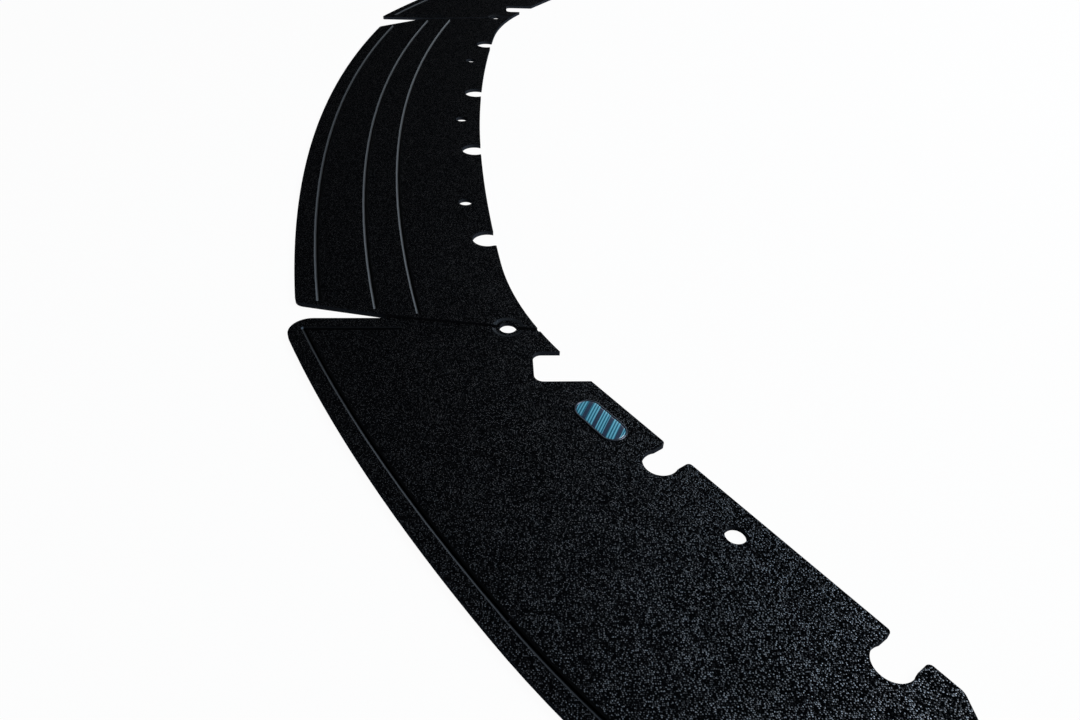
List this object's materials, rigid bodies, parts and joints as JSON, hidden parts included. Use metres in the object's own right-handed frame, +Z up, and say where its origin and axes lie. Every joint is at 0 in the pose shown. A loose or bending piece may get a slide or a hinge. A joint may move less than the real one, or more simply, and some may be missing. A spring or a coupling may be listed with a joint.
{
  "type": "front skid plate",
  "caption": "Flat black front skid plate of a curved centre panel with two swept wings lap-jointed to its ends, with grooves, bolt holes and keyhole slots along the inner edge.",
  "frame": {"origin": "on the ground plane under the plate, midway across and midway from front to back", "axes": "+X across the car, +Y to the front edge of the plate, +Z up through the sheet from the flat face that meets the bumper"},
  "size_m": [1.8084, 0.444, 0.0049],
  "materials": {
    "textured_sheet": "black sheet with a fine leather grain and a low sheen",
    "badge_enamel": "smooth blue print under a clear dome"
  },
  "bodies": {
    "root": {"centre_panel": "textured_sheet", "left_wing": "textured_sheet", "right_wing": "textured_sheet", "badge": "badge_enamel"}
  },
  "joints": []
}
